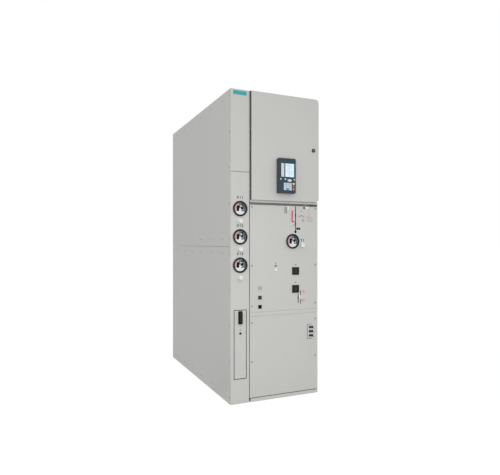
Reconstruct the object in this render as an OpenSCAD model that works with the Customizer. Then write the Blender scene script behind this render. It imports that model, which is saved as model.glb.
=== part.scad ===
// Medium-voltage switchgear panel with an end column, in millimetres.
// It stands on the floor at z = 0, faces -Y and is centred on its overall box.

/* [Cabinet] */
// Width of the main panel
panel_w = 600; // [580:10:700]
// Width of the end column beside it
column_w = 155; // [150:1:190]
// Height over the roof
cabinet_h = 2350; // [2250:10:2500]
// Depth from the front covers to the rear wall
cabinet_d = 1625; // [1300:25:1800]
// Thickness of the wall and roof sheets
wall_t = 2.5; // [2:0.5:3]
// Thickness of the front covers
cover_t = 2; // [1.5:0.5:3]
// Depth of the folded edges of the covers
fold_d = 22; // [20:1:28]
// Seam between neighbouring wall sheets
seam_gap = 1.5; // [1:0.5:2.5]
// Seam between the covers of the panel
panel_seam_gap = 0.6; // [0.4:0.1:1.5]
// Gap between the edge of a wall and the cover that laps it
lap_gap = 6; // [0.5:0.25:8]
// Gap between the column and the panel
column_gap = 6; // [5:0.5:8]
// Width of the inward flanges of the wall sheets
flange_w = 30; // [20:1:40]
// Width and depth of the upright posts
post_w = 36; // [30:1:44]
// Thickness of the rubber seals
seal_t = 3; // [2:0.5:5]
// Depth of the column seal behind the covers
seal_set = 12; // [8:1:16]

/* [Front levels] */
// Height of the floor rails
rail_h = 27; // [22:1:40]
// Thickness of the floor rails
rail_t = 5; // [4:0.5:8]
// Width of the foot of the floor rails
rail_foot = 60; // [50:1:80]
// Gap under the cable cover
kick_gap = 4.5; // [2:0.5:8]
// Level of the seam under the cross rail
cross_rail_z = 646; // [600:1:660]
// Height of the cross rail
cross_rail_h = 30; // [20:1:40]
// Top of the mechanism cover
mechanism_top = 1492; // [1470:1:1500]
// Shadow gap over the mechanism cover
shadow_gap = 18; // [10:1:20]
// Height of the rail under the low-voltage door
lv_rail_h = 12; // [8:0.5:14]
// Level of the seam between the two column covers
column_seam_z = 1735; // [1700:1:1760]
// Seam between the two column covers
column_seam_gap = 3; // [2:0.5:5]

/* [Low-voltage compartment] */
// Thickness of its sheets
lv_t = 2; // [1.5:0.5:3]
// Depth behind the front covers
lv_d = 480; // [350:10:600]
// Width of the lips round the opening
lv_lip = 24; // [18:1:30]
// How far the lips stand behind the cover plane
lv_setback = 4; // [3.5:0.5:6]
// How far the door stands out in front of the covers
door_proud = 18; // [16:0.5:24]
// Depth of the folded door
door_d = 16; // [14:0.5:17]
// Thickness of the door sheet
door_t = 2; // [1.5:0.5:3]
// Radius of the door corners away from the hinge
door_corner_r = 28; // [20:1:36]
// Gap under the door
door_gap = 6; // [5:0.5:8]
// Gap of the door to the column module line
door_inset = 8.5; // [4.5:0.5:12]
// Lock centre from the right edge of the panel
lock_inset = 49; // [40:1:70]
// Radius of the lock rosette
lock_r = 15; // [12:0.5:18]
// Radius of the lock barrel
lock_barrel_r = 10; // [8:0.5:11]
// How far the lock stands out
lock_proud = 4; // [2:0.5:6]
// Length of the lock barrel behind the door sheet
lock_barrel_l = 20; // [16:1:28]
// Length of the lock cam
cam_l = 34; // [28:1:45]
// Width of the lock cam
cam_w = 14; // [10:1:16]

/* [Hinges] */
// Radius of the door hinge barrel
hinge_r = 4; // [3.5:0.25:4.5]
// Radius of the door hinge pin
hinge_pin_r = 2.5; // [2:0.25:3]
// Thickness of the hinge leaf
hinge_leaf_t = 1.6; // [1.2:0.2:2]
// Number of knuckles of the door hinge
hinge_knuckles = 11; // [7:2:15]
// Radius of the flap hinge barrel
flap_hinge_r = 2.8; // [2.5:0.1:3]
// Radius of the flap hinge pin
flap_pin_r = 1.5; // [1.2:0.1:1.8]
// Number of knuckles of the flap hinge
flap_knuckles = 9; // [5:2:11]
// Running clearance of a pin in its knuckle
pin_clear = 0.05; // [0.03:0.01:0.08]
// Gap between neighbouring knuckles
knuckle_gap = 0.6; // [0.4:0.1:1]

/* [Bay controller] */
// Width of the controller front
relay_w = 150; // [130:1:170]
// Height of the controller front
relay_h = 268; // [250:1:280]
// How far the controller stands out from the door
relay_proud = 38; // [30:1:45]
// Corner radius of the controller front
relay_corner_r = 7; // [4:0.5:10]
// Controller centre from the left edge of the panel
relay_x = 294.5; // [270:0.5:320]
// Controller centre over the bottom edge of the door
relay_rise = 191; // [180:1:210]
// Depth of the case behind the door sheet
relay_case_d = 150; // [100:5:200]
// Margin of the front over the case
relay_margin = 8; // [5:0.5:12]
// Clearance of the case in the door
relay_clear = 1; // [0.5:0.25:2]
// Depth of the recesses for screen and keys
relay_recess = 1.5; // [1:0.25:3]
// Width of the screen
screen_w = 77; // [60:1:84]
// Height of the screen
screen_h = 103; // [90:1:112]
// Screen centre right of the controller centre
screen_dx = 20; // [12:0.5:24]
// Screen centre over the controller centre
screen_dz = 42; // [38:0.5:50]
// Width of the lamp strip
lamps_w = 26; // [20:1:30]
// Lamp strip left of the controller centre
lamps_dx = 40.5; // [37:0.5:46]
// Step round the rim of the controller front
relay_step = 3; // [2:0.5:5]
// Diameter of the round keys
key_dia = 12; // [9:0.5:13]
// Pitch of the round keys
round_key_pitch = 39; // [34:0.5:42]
// Round keys under the controller centre
round_key_drop = 28; // [22:0.5:30]
// Width of the arrow key
arrow_key_w = 40; // [32:1:44]
// Height of the arrow key
arrow_key_h = 21; // [14:0.5:24]
// Arrow key right of the controller centre
arrow_key_dx = 18.5; // [15:0.5:22]
// Arrow key under the controller centre
arrow_key_drop = 36; // [32:0.5:40]
// Width of a block key
key_w = 19; // [14:0.5:20]
// Height of a block key
key_tall = 11; // [8:0.5:12]
// Block of keys right of the controller centre
key_block_dx = 1.5; // [-3:0.5:6]
// Pitch of the block keys across
key_pitch_x = 24; // [21:0.5:26]
// Pitch of the block keys up and down
key_pitch_z = 15; // [13:0.5:17]
// Top row of block keys under the controller centre
key_block_drop = 61; // [56:0.5:66]
// Width of a command key
command_key_w = 17; // [11:0.5:19]
// Height of a command key
command_key_tall = 14; // [8:0.5:16]
// Command keys right of the controller centre
command_key_dx = 53; // [50:0.5:58]
// Pitch of the command keys
command_key_pitch = 21; // [18:0.5:24]
// Height of the keys over the front
key_h = 2; // [1:0.25:3]

/* [Gauges] */
// Outer diameter of a gauge bezel
gauge_dia = 116; // [100:1:122]
// Width of the bezel ring
bezel_w = 11; // [8:0.5:14]
// How far the bezel stands out
bezel_h = 14; // [10:0.5:18]
// Depth of the gauge case behind the cover
gauge_d = 40; // [25:1:60]
// Ledge that carries the glass
glass_ledge = 2; // [1.5:0.25:3]
// Thickness of the glass
glass_t = 2; // [1.5:0.25:3]
// Depth of the glass below the bezel rim
glass_set = 2; // [1:0.25:3]
// Thickness of the dial
dial_t = 1; // [0.8:0.1:1.5]
// Thickness of the pointer
pointer_t = 0.8; // [0.6:0.1:1]
// Column gauge centre from the left edge
column_gauge_x = 75; // [74:0.5:80]
// Height of the top column gauge
column_gauge_z = 1458; // [1440:1:1480]
// Pitch of the column gauges
column_gauge_pitch = 211; // [200:1:225]
// Breaker gauge centre from the left edge of the panel
breaker_gauge_x = 368; // [340:1:400]
// Height of the breaker gauge
breaker_gauge_z = 1215; // [1195:1:1235]

/* [Filling caps] */
// Diameter of a filling cap
cap_dia = 38; // [30:1:40]
// Length of a filling cap
cap_l = 30; // [20:1:32]
// Diameter of the stem in the cover
cap_stem_dia = 18; // [14:0.5:22]
// Length of the stem behind the cover face
cap_stem_l = 16; // [10:1:20]
// Cap centre under the column gauge centre
cap_drop = 92; // [88:1:98]
// Breaker cap right of the breaker gauge
breaker_cap_dx = 83; // [80:1:95]
// Breaker cap under the breaker gauge
breaker_cap_drop = 31; // [20:1:40]
// Clearance of round pieces in the covers
round_clear = 0.3; // [0.2:0.05:0.5]

/* [Column flap] */
// Width of the flap opening
flap_opening_w = 106; // [98:1:108]
// Height of the flap opening
flap_opening_h = 520; // [480:1:540]
// Left edge of the flap opening
flap_opening_x = 26; // [24:1:32]
// Bottom edge of the flap opening
flap_opening_z = 182; // [160:1:200]
// Gap round the flap
flap_gap = 6; // [6:0.25:8]
// Depth of the folded flap
flap_d = 12; // [10:0.5:13]
// Thickness of the flap sheet
flap_t = 2; // [1.5:0.5:2.5]
// Depth of the pocket behind the flap
pocket_d = 90; // [70:1:140]
// Thickness of the pocket sheets
pocket_t = 2; // [1.5:0.5:3]
// Width of the flap handle
handle_w = 33; // [28:1:38]
// Height of the flap handle
handle_h = 97; // [85:1:110]
// How far the handle stands out
handle_proud = 20; // [16:1:26]
// Thickness of the plate under the handle
handle_base = 7; // [5:0.5:10]
// Corner radius of the handle
handle_r = 4; // [3:0.5:9]
// Handle centre under the top edge of the flap
handle_drop = 53; // [50:1:60]
// Diameter of the flap lock
flap_lock_dia = 18; // [14:0.5:22]
// Lock centre under the top edge of the flap
flap_lock_drop = 171; // [150:1:185]
// How far the flap lock stands out
flap_lock_proud = 3; // [2:0.5:5]

/* [Cover fittings] */
// Side of the operating shutters
shutter_w = 60; // [50:1:70]
// How far the shutters stand out
shutter_h = 6; // [4:0.5:9]
// Shutter centre from the left edge of the panel
shutter_x = 396.7; // [380:0.1:420]
// Height of the lower shutter
shutter_z = 841; // [825:1:860]
// Pitch of the shutters
shutter_pitch = 140.5; // [120:0.5:150]
// Side of the push buttons
button_w = 27.5; // [22:0.5:32]
// How far the push buttons stand out
button_h = 8; // [5:0.5:11]
// Push button centre from the left edge of the panel
button_x = 86; // [75:0.5:100]
// Height of the lower push button
button_z = 716; // [708:1:722]
// Pitch of the push buttons
button_pitch = 70; // [60:1:72]
// Width of the position window
window_w = 36; // [30:1:42]
// Height of the position window
window_h = 44; // [38:1:50]
// Window centre over the upper push button
window_rise = 71; // [70:1:84]
// How far the window frame stands out
window_proud = 2.5; // [1.5:0.5:4]
// Diameter of the charging port
port_dia = 26; // [20:1:32]
// How far the charging port stands out
port_proud = 7; // [4:0.5:10]
// Charging port centre from the left edge of the panel
port_x = 224; // [210:1:240]
// Height of the charging port
port_z = 994; // [980:1:1010]
// Width of the test socket plate
socket_plate_w = 71; // [60:1:75]
// Height of the test socket plate
socket_plate_h = 116; // [110:1:130]
// Thickness of the test socket plate
socket_plate_t = 2; // [1.5:0.5:3]
// Test socket plate from the right edge of the panel
socket_plate_inset = 28; // [20:1:60]
// Bottom edge of the test socket plate
socket_plate_z = 439.5; // [420:0.5:460]
// Diameter of a test socket cap
socket_dia = 17; // [14:0.5:18]
// How far the test sockets stand out
socket_h = 9; // [6:0.5:12]
// Pitch of the two sockets of a pair
socket_pitch_x = 19; // [18.5:0.5:22]
// Pitch of the socket pairs
socket_pitch_z = 33.5; // [28:0.5:36]
// Width of the bare name plate
badge_w = 108; // [90:1:115]
// Height of the bare name plate
badge_h = 29; // [24:1:34]
// Thickness of the bare name plate
badge_t = 2; // [1:0.5:3]
// Left edge of the bare name plate
badge_x = 22; // [18:1:28]
// Name plate under the top edge
badge_drop = 11; // [8:1:20]

/* [Floor fixing] */
// Diameter of the floor bolt holes
floor_hole_dia = 14; // [12:0.5:18]
// Floor bolt holes from the front and the rear
floor_hole_y = 160; // [140:1:220]

/* [Hidden] */
$fn = 64;
// Overrun of the cuts
cut = 1;

// Overall sizes and the place of the cabinet in its frame
cabinet_w = column_w + panel_w;
relay_face = door_proud + relay_proud;
front_reach = relay_face + key_h;
front_y = -(cabinet_d - front_reach) / 2;

// Edges of the front sheets
half_gap = column_gap / 2;
column_right = column_w - half_gap;
column_post_x = flap_opening_x + flap_opening_w + pocket_t;
panel_left = column_w + half_gap;
inner_right = cabinet_w - wall_t;
mid_z = cabinet_h / 2;
roof_z = cabinet_h - wall_t;
rear_in = cabinet_d - wall_t;

// Levels up the front of the panel
cable_z = rail_h + kick_gap;
cross_z = cross_rail_z + cross_rail_h;
lv_z = mechanism_top + shadow_gap;
lv_floor_z = lv_z + lv_rail_h;
door_z = lv_floor_z + door_gap;
door_h = cabinet_h - lv_t - door_z;
door_x = column_w + door_inset;
door_w = cabinet_w - door_x;
door_face = -door_proud;
door_back = door_d - door_proud;

// Low-voltage compartment
lv_left = panel_left;
lv_right = inner_right;
lv_top_z = roof_z - lv_t;

// Door hinge
hinge_x = door_x - hinge_r;
hinge_y = -door_proud / 2;
hinge_l = door_h;
hinge_z = door_z;
hinge_pitch = hinge_l / hinge_knuckles;
leaf_x = column_right - hinge_x;

// Flap and its hinge
flap_x = flap_opening_x + flap_gap;
flap_z = flap_opening_z + flap_gap;
flap_w = flap_opening_w - 2 * flap_gap;
flap_h = flap_opening_h - 2 * flap_gap;
flap_hinge_x = flap_x - flap_hinge_r;
flap_hinge_y = -flap_hinge_r / 2;
flap_pitch = flap_h / flap_knuckles;
flap_leaf_x = flap_opening_x - flap_hinge_x;
flap_mid = flap_x + flap_w / 2;

// Gauge radii
gauge_r = gauge_dia / 2;
glass_r = gauge_r - bezel_w;
dial_r = glass_r - glass_ledge;
case_r = gauge_r - bezel_w / 2;
glass_back = bezel_h - glass_set - glass_t;
dial_floor = glass_back / 2;

// Centres of the round pieces of the front
column_gauges = [for (i = [0:2]) [column_gauge_x, column_gauge_z - i * column_gauge_pitch]];
breaker_gauge_at = [column_w + breaker_gauge_x, breaker_gauge_z];
gauges = concat(column_gauges, [breaker_gauge_at]);
column_caps = [for (p = column_gauges) [p[0], p[1] - cap_drop]];
breaker_cap_at = [breaker_gauge_at[0] + breaker_cap_dx, breaker_gauge_at[1] - breaker_cap_drop];
caps = concat(column_caps, [breaker_cap_at]);

// Controller place
relay_mid_x = column_w + relay_x;
relay_mid_z = door_z + relay_rise;
lock_x = cabinet_w - lock_inset;
lock_z = door_z + door_h / 2;

// Shares of the outlines
slot_share = 0.62;
rib_share = 0.12;
knurl_share = 0.08;
grip_share = 0.7;
taper_share = 0.8;
pointer_share = 0.1;
reach_share = 0.82;

// Angle of the pointers, counted from the right
pointer_turn = 108;

// Moves pieces from cabinet corner to the frame
module in_frame() {
    translate([-cabinet_w / 2, front_y, 0]) children();
}

// Box between two corners
module block(a, b) {
    translate(a) cube(b - a);
}

// Turns a shape drawn in XY upright, growing towards the viewer
module upright(x, y, z, t) {
    translate([x, y, z]) rotate([90, 0, 0]) linear_extrude(t) children();
}

// Rectangle with round corners, its corner at the origin
module round_rect(w, h, r) {
    translate([r, 0]) square([w - 2 * r, h]);
    translate([0, r]) square([w, h - 2 * r]);
    for (x = [r, w - r], y = [r, h - r]) translate([x, y]) circle(r);
}

// Cylinder pointing into the cabinet from a front plane
module stud(x, y, z, r, l) {
    translate([x, y, z]) rotate([-90, 0, 0]) cylinder(r = r, h = l);
}

// Solid of turning about an axis that points out of the front
module turned(x, z) {
    translate([x, 0, z]) rotate([90, 0, 0]) rotate_extrude() children();
}

// What a bend of the given radius takes off a corner at the origin
module bend_corner(r) {
    difference() {
        translate([-cut, -cut]) square(r + cut);
        translate([r, r]) circle(r);
    }
}

// Section across a folded sheet, the face lapping past the folds where a lap is given
module folded_section(w, d, t, lap_left, lap_right) {
    difference() {
        union() {
            square([w, t]);
            translate([lap_left, 0]) square([w - lap_left - lap_right, d]);
        }
        if (lap_left == 0) bend_corner(t);
        if (lap_right == 0) translate([w, 0]) mirror([1, 0]) bend_corner(t);
    }
}

// Section up a folded sheet, bent back at the bottom and the top
module upright_section(h, d, t) {
    difference() {
        square([d, h]);
        bend_corner(t);
        translate([0, h]) mirror([0, 1]) bend_corner(t);
    }
}

// Sheet facing the front with its four edges folded back to a depth
module folded_sheet(x, z, w, h, d, t, lap_left = 0, lap_right = 0) {
    translate([x, 0, z]) difference() {
        intersection() {
            linear_extrude(h) folded_section(w, d, t, lap_left, lap_right);
            rotate([90, 0, 90]) linear_extrude(w) upright_section(h, d, t);
        }
        block([lap_left + t, t, t], [w - lap_right - t, d + cut, h - t]);
    }
}

// Front cover from its outer edges
module cover(x0, z0, x1, z1, lap_left, lap_right) {
    folded_sheet(x0, z0, x1 - x0, z1 - z0, fold_d, cover_t, lap_left, lap_right);
}

// Floor rails, angles with the foot inwards
module base_rail_front() color("dimgray") in_frame() {
    block([panel_left + column_gap, 0, 0], [cabinet_w, cover_t, rail_h]);
    block([panel_left + column_gap, 0, 0], [inner_right, rail_t, rail_h]);
    block([panel_left + column_gap, 0, 0], [inner_right, rail_foot, rail_t]);
}

module base_rail_rear() color("dimgray") in_frame() {
    block([wall_t, rear_in - rail_t, 0], [inner_right, rear_in, rail_h]);
    block([wall_t, rear_in - rail_foot, 0], [inner_right, rear_in, rail_t]);
}

module side_rail() {
    difference() {
        union() {
            block([wall_t, rail_foot, 0], [wall_t + rail_t, rear_in - rail_foot, rail_h]);
            block([wall_t, rail_foot, 0], [wall_t + rail_foot, rear_in - rail_foot, rail_t]);
        }
        for (y = [floor_hole_y, cabinet_d - floor_hole_y])
            translate([wall_t + rail_foot / 2, y, -cut]) cylinder(d = floor_hole_dia, h = rail_t + 2 * cut);
    }
}

module base_side_rails() color("dimgray") in_frame() {
    side_rail();
    translate([cabinet_w, 0, 0]) mirror([1, 0, 0]) side_rail();
}

// Posts behind the covers
module column_post() color("silver") in_frame() {
    difference() {
        block([column_post_x, fold_d, 0], [column_right, fold_d + post_w, roof_z]);
        block(
            [column_post_x + wall_t, fold_d + wall_t, wall_t],
            [column_right - wall_t, fold_d + post_w + cut, roof_z - wall_t]
        );
    }
}

module panel_posts() color("silver") in_frame() {
    for (x = [panel_left, inner_right - post_w]) difference() {
        block([x, fold_d, rail_t], [x + post_w, fold_d + post_w, mechanism_top]);
        block(
            [x + wall_t, fold_d + wall_t, rail_t + wall_t],
            [x + post_w - wall_t, fold_d + post_w + cut, mechanism_top - wall_t]
        );
    }
}

// Strip behind the posts that closes the gap over the mechanism cover
module closing_strip() color("silver") in_frame()
    block(
        [panel_left, fold_d + post_w, mechanism_top - post_w],
        [inner_right, fold_d + post_w + wall_t, lv_floor_z - lv_t]
    );

// Seals in the gap beside the column and behind the gap over the front rail
module gap_seals() color("black") in_frame() {
    block([column_right, seal_set, 0], [panel_left, seal_set + seal_t, mechanism_top]);
    block([panel_left + column_gap, rail_t, rail_h - seal_t], [inner_right, rail_t + seal_t, cable_z]);
}

// Left wall sheets, the right ones are mirrored
module wall_lower() {
    block([0, cover_t + lap_gap, 0], [wall_t, rear_in, mid_z - seam_gap / 2]);
    block(
        [0, fold_d + post_w + flange_w, mid_z - seam_gap / 2 - wall_t],
        [flange_w, rear_in - fold_d - wall_t, mid_z - seam_gap / 2]
    );
}

module wall_upper() {
    block([0, cover_t + lap_gap, mid_z + seam_gap / 2], [wall_t, rear_in, cabinet_h]);
    block(
        [0, fold_d + post_w + flange_w, mid_z + seam_gap / 2],
        [flange_w, rear_in - fold_d - wall_t, mid_z + seam_gap / 2 + wall_t]
    );
    block(
        [0, lv_d + flange_w, roof_z - wall_t],
        [flange_w, rear_in - fold_d - wall_t, roof_z]
    );
}

module left_wall_lower() color("silver") in_frame() wall_lower();

module left_wall_upper() color("silver") in_frame() wall_upper();

module right_wall_lower() color("silver") in_frame()
    translate([cabinet_w, 0, 0]) mirror([1, 0, 0]) wall_lower();

module right_wall_upper() color("silver") in_frame()
    translate([cabinet_w, 0, 0]) mirror([1, 0, 0]) wall_upper();

// Rear wall sheets, folded at both sides
module rear_sheet(z0, z1, fold_z0) {
    block([0, rear_in, z0], [cabinet_w, cabinet_d, z1]);
    for (x = [wall_t, inner_right - wall_t])
        block([x, rear_in - fold_d, fold_z0], [x + wall_t, cabinet_d, z1 - wall_t]);
}

module rear_wall_lower() color("silver") in_frame()
    rear_sheet(0, mid_z - seam_gap / 2, rail_h + kick_gap);

module rear_wall_upper() color("silver") in_frame()
    rear_sheet(mid_z + seam_gap / 2, cabinet_h, mid_z + seam_gap / 2 + wall_t);

module roof() color("silver") in_frame()
    block([wall_t, cover_t, roof_z], [inner_right, rear_in, cabinet_h]);

// Covers of the end column
module column_upper_cover() color("gainsboro") in_frame() {
    z0 = column_seam_z + column_seam_gap / 2;
    block([0, 0, roof_z - cover_t], [column_right, cover_t, cabinet_h]);
    cover(0, z0, column_right, roof_z, wall_t, 0);
}

module column_lower_cover() color("gainsboro") in_frame() {
    difference() {
        cover(0, 0, column_right, column_seam_z - column_seam_gap / 2, wall_t, 0);
        for (p = column_gauges) stud(p[0], -cut, p[1], case_r + round_clear, cover_t + 2 * cut);
        for (p = column_caps) stud(p[0], -cut, p[1], cap_stem_dia / 2 + round_clear, cover_t + 2 * cut);
        block(
            [flap_opening_x, -cut, flap_opening_z],
            [flap_opening_x + flap_opening_w, cover_t + cut, flap_opening_z + flap_opening_h]
        );
    }
    flap_collar();
}

// Folded collar round the flap opening
module flap_collar() {
    difference() {
        block(
            [flap_opening_x - pocket_t, 0, flap_opening_z - pocket_t],
            [flap_opening_x + flap_opening_w + pocket_t, fold_d, flap_opening_z + flap_opening_h + pocket_t]
        );
        block(
            [flap_opening_x, -cut, flap_opening_z],
            [flap_opening_x + flap_opening_w, fold_d + cut, flap_opening_z + flap_opening_h]
        );
    }
}

// Pocket behind the flap, an open box of sheet
module flap_pocket() color("silver") in_frame() {
    difference() {
        block(
            [flap_opening_x - pocket_t, fold_d, flap_opening_z - pocket_t],
            [
                flap_opening_x + flap_opening_w + pocket_t,
                fold_d + pocket_d,
                flap_opening_z + flap_opening_h + pocket_t
            ]
        );
        block(
            [flap_opening_x, fold_d - cut, flap_opening_z],
            [
                flap_opening_x + flap_opening_w,
                fold_d + pocket_d - pocket_t,
                flap_opening_z + flap_opening_h
            ]
        );
    }
}

module badge_plate() color("teal") in_frame()
    upright(badge_x, 0, cabinet_h - badge_drop - badge_h, badge_t) round_rect(badge_w, badge_h, badge_t);

// Pressure gauge, a cup with a bezel and a ledge for the glass
module gauge_case(p) {
    turned(p[0], p[1]) polygon([
        [0, -gauge_d], [case_r, -gauge_d], [case_r, 0], [gauge_r, 0],
        [gauge_r, bezel_h - glass_set], [gauge_r - glass_set, bezel_h], [glass_r, bezel_h],
        [glass_r, glass_back], [dial_r, glass_back], [dial_r, dial_floor], [0, dial_floor]
    ]);
}

module busbar_gauge_1() color("darkslategray") in_frame() gauge_case(gauges[0]);

module busbar_gauge_2() color("darkslategray") in_frame() gauge_case(gauges[1]);

module busbar_gauge_3() color("darkslategray") in_frame() gauge_case(gauges[2]);

module breaker_gauge() color("darkslategray") in_frame() gauge_case(gauges[3]);

module gauge_dials() color("white") in_frame()
    for (p = gauges) stud(p[0], -dial_floor - dial_t, p[1], dial_r - round_clear, dial_t);

// Pointer with its hub on the dial
module gauge_pointers() color("black") in_frame()
    for (p = gauges) translate([p[0], -dial_floor - dial_t, p[1]]) rotate([90, 0, 0]) {
        cylinder(r = dial_r * pointer_share, h = 2 * pointer_t);
        rotate(pointer_turn) translate([-dial_r * pointer_share, -dial_r * pointer_share / 3, pointer_t])
            cube([dial_r * reach_share, dial_r * pointer_share * 2 / 3, pointer_t]);
    }

module gauge_glasses() color("lightblue", 0.4) in_frame()
    for (p = gauges) stud(p[0], -glass_back - glass_t, p[1], glass_r - round_clear, glass_t);

// Screw caps on their stems
module filling_caps() color("whitesmoke") in_frame()
    for (p = caps) turned(p[0], p[1]) polygon([
        [0, -cap_stem_l], [cap_stem_dia / 2, -cap_stem_l], [cap_stem_dia / 2, 0],
        [cap_dia / 2, 0], [cap_dia / 2, cap_l * knurl_share],
        [cap_dia / 2 * (1 - knurl_share), cap_l * knurl_share],
        [cap_dia / 2 * (1 - knurl_share), cap_l * (1 - knurl_share)],
        [cap_dia / 2 * taper_share, cap_l], [0, cap_l]
    ]);

// Sheets of the low-voltage compartment
module lv_sides() color("silver") in_frame()
    for (x = [lv_left, lv_right - lv_t])
        block([x, lv_setback, lv_floor_z], [x + lv_t, lv_d, lv_top_z]);

// Lips that the door closes in front of
module lv_lips() color("silver") in_frame() {
    for (x = [lv_left + lv_t, lv_right - lv_lip])
        block([x, lv_setback, lv_floor_z], [x + lv_lip - lv_t, lv_setback + lv_t, lv_top_z]);
    for (z = [lv_floor_z, lv_top_z - lv_lip]) block(
        [lv_left + lv_lip + seam_gap, lv_setback, z],
        [lv_right - lv_lip - seam_gap, lv_setback + lv_t, z + lv_lip]
    );
}

module lv_top() color("silver") in_frame()
    block([lv_left, lv_setback, lv_top_z], [lv_right, lv_d, roof_z]);

module lv_floor() color("silver") in_frame() {
    block([lv_left, 0, lv_floor_z - lv_t], [lv_right, lv_d, lv_floor_z]);
    block([lv_left, 0, lv_z], [cabinet_w, cover_t, lv_floor_z]);
}

module lv_back() color("silver") in_frame()
    block([lv_left, lv_d, lv_floor_z - lv_t], [lv_right, lv_d + lv_t, roof_z]);

// Knuckles along a hinge line, every second one from the first or the second
module knuckle_row(n, pitch, first) {
    for (i = [first:2:n - 1]) translate([0, 0, i * pitch + knuckle_gap / 2]) children();
}

// Fixed half of a hinge with its pin, its knuckles on a leaf that bends back along the frame
module fixed_hinge(r, pin_r, n, pitch, leaf_x, leaf_d, leaf_h) {
    knuckle_l = pitch - knuckle_gap;
    cylinder(r = pin_r, h = n * pitch);
    knuckle_row(n, pitch, 0) {
        cylinder(r = r, h = knuckle_l);
        block([leaf_x, r - hinge_leaf_t, 0], [0, r, knuckle_l]);
        block([leaf_x, r - hinge_leaf_t, 0], [leaf_x + hinge_leaf_t, r + 2 * knuckle_gap, knuckle_l]);
    }
    block([leaf_x, r + knuckle_gap, 0], [leaf_x + hinge_leaf_t, leaf_d, leaf_h]);
}

module door_hinge_leaf() color("black") in_frame() translate([hinge_x, hinge_y, hinge_z])
    fixed_hinge(
        hinge_r, hinge_pin_r, hinge_knuckles, hinge_pitch,
        leaf_x, fold_d + post_w - hinge_y, roof_z - hinge_z
    );

// Moving half of the door hinge, each knuckle with a flat against the door edge
module door_hinge_knuckles() color("black") in_frame() translate([hinge_x, hinge_y, hinge_z])
    knuckle_row(hinge_knuckles, hinge_pitch, 1) difference() {
        union() {
            cylinder(r = hinge_r, h = hinge_pitch - knuckle_gap);
            block([0, -hinge_r, 0], [hinge_r, hinge_r, hinge_pitch - knuckle_gap]);
        }
        translate([0, 0, -cut]) cylinder(r = hinge_pin_r + pin_clear, h = hinge_pitch + cut);
    }

module flap_hinge_leaf() color("black") in_frame() translate([flap_hinge_x, flap_hinge_y, flap_z])
    fixed_hinge(
        flap_hinge_r, flap_pin_r, flap_knuckles, flap_pitch,
        flap_leaf_x, fold_d - flap_hinge_y, flap_h
    );

// Moving half of the flap hinge
module flap_hinge_knuckles() color("black") in_frame() translate([flap_hinge_x, flap_hinge_y, flap_z])
    knuckle_row(flap_knuckles, flap_pitch, 1) difference() {
        union() {
            cylinder(r = flap_hinge_r, h = flap_pitch - knuckle_gap);
            block([0, 0, 0], [flap_hinge_r, flap_d / 2, flap_pitch - knuckle_gap]);
        }
        translate([0, 0, -cut]) cylinder(r = flap_pin_r + pin_clear, h = flap_pitch + cut);
    }

// Mechanism cover with its openings
module mechanism_cover() color("gainsboro") in_frame() {
    difference() {
        cover(panel_left, cross_z + panel_seam_gap / 2, cabinet_w, mechanism_top, 0, wall_t);
        stud(gauges[3][0], -cut, gauges[3][1], case_r + round_clear, cover_t + 2 * cut);
        stud(caps[3][0], -cut, caps[3][1], cap_stem_dia / 2 + round_clear, cover_t + 2 * cut);
        stud(column_w + port_x, -cut, port_z, port_dia / 4 + round_clear, cover_t + 2 * cut);
    }
}

// Shutters of the operating openings, a frame with a sunk slide and its grip
module operating_shutters() color("black") in_frame()
    for (i = [0:1]) translate([column_w + shutter_x, 0, shutter_z + i * shutter_pitch]) {
        difference() {
            block([-shutter_w / 2, -shutter_h, -shutter_w / 2], [shutter_w / 2, 0, shutter_w / 2]);
            block(
                [-shutter_w / 2 * slot_share, -shutter_h - cut, -shutter_w / 2 * slot_share],
                [shutter_w / 2 * slot_share, -shutter_h / 2, shutter_w / 2 * slot_share]
            );
        }
        block(
            [-shutter_w / 2 * slot_share, -shutter_h, -shutter_w * rib_share / 2],
            [shutter_w / 2 * slot_share, -shutter_h / 2, shutter_w * rib_share / 2]
        );
    }

module push_buttons() color("black") in_frame()
    for (i = [0:1]) translate([column_w + button_x, 0, button_z + i * button_pitch]) {
        block([-button_w / 2, -button_h / 2, -button_w / 2], [button_w / 2, 0, button_w / 2]);
        block(
            [-button_w / 2 * grip_share, -button_h, -button_w / 2 * grip_share],
            [button_w / 2 * grip_share, 0, button_w / 2 * grip_share]
        );
    }

module position_window() color("white") in_frame()
    translate([column_w + button_x, 0, button_z + button_pitch + window_rise]) difference() {
        block([-window_w / 2, -window_proud, -window_h / 2], [window_w / 2, 0, window_h / 2]);
        block(
            [-window_w / 2 * grip_share, -window_proud - cut, -window_h / 2 * grip_share],
            [window_w / 2 * grip_share, -window_proud / 2, window_h / 2 * grip_share]
        );
    }

module charging_port() color("whitesmoke") in_frame()
    turned(column_w + port_x, port_z) polygon([
        [0, -port_proud], [port_dia / 4, -port_proud], [port_dia / 4, 0], [port_dia / 2, 0],
        [port_dia / 2, port_proud * taper_share], [port_dia / 2 * taper_share, port_proud], [0, port_proud]
    ]);

module cross_rail() color("gainsboro") in_frame()
    cover(panel_left, cross_rail_z + panel_seam_gap / 2, cabinet_w, cross_z - panel_seam_gap / 2, 0, wall_t);

module cable_cover() color("gainsboro") in_frame()
    cover(panel_left, cable_z, cabinet_w, cross_rail_z - panel_seam_gap / 2, 0, wall_t);

module test_socket_plate() color("whitesmoke") in_frame()
    upright(cabinet_w - socket_plate_inset - socket_plate_w, 0, socket_plate_z, socket_plate_t)
        round_rect(socket_plate_w, socket_plate_h, 2 * socket_plate_t);

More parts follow.
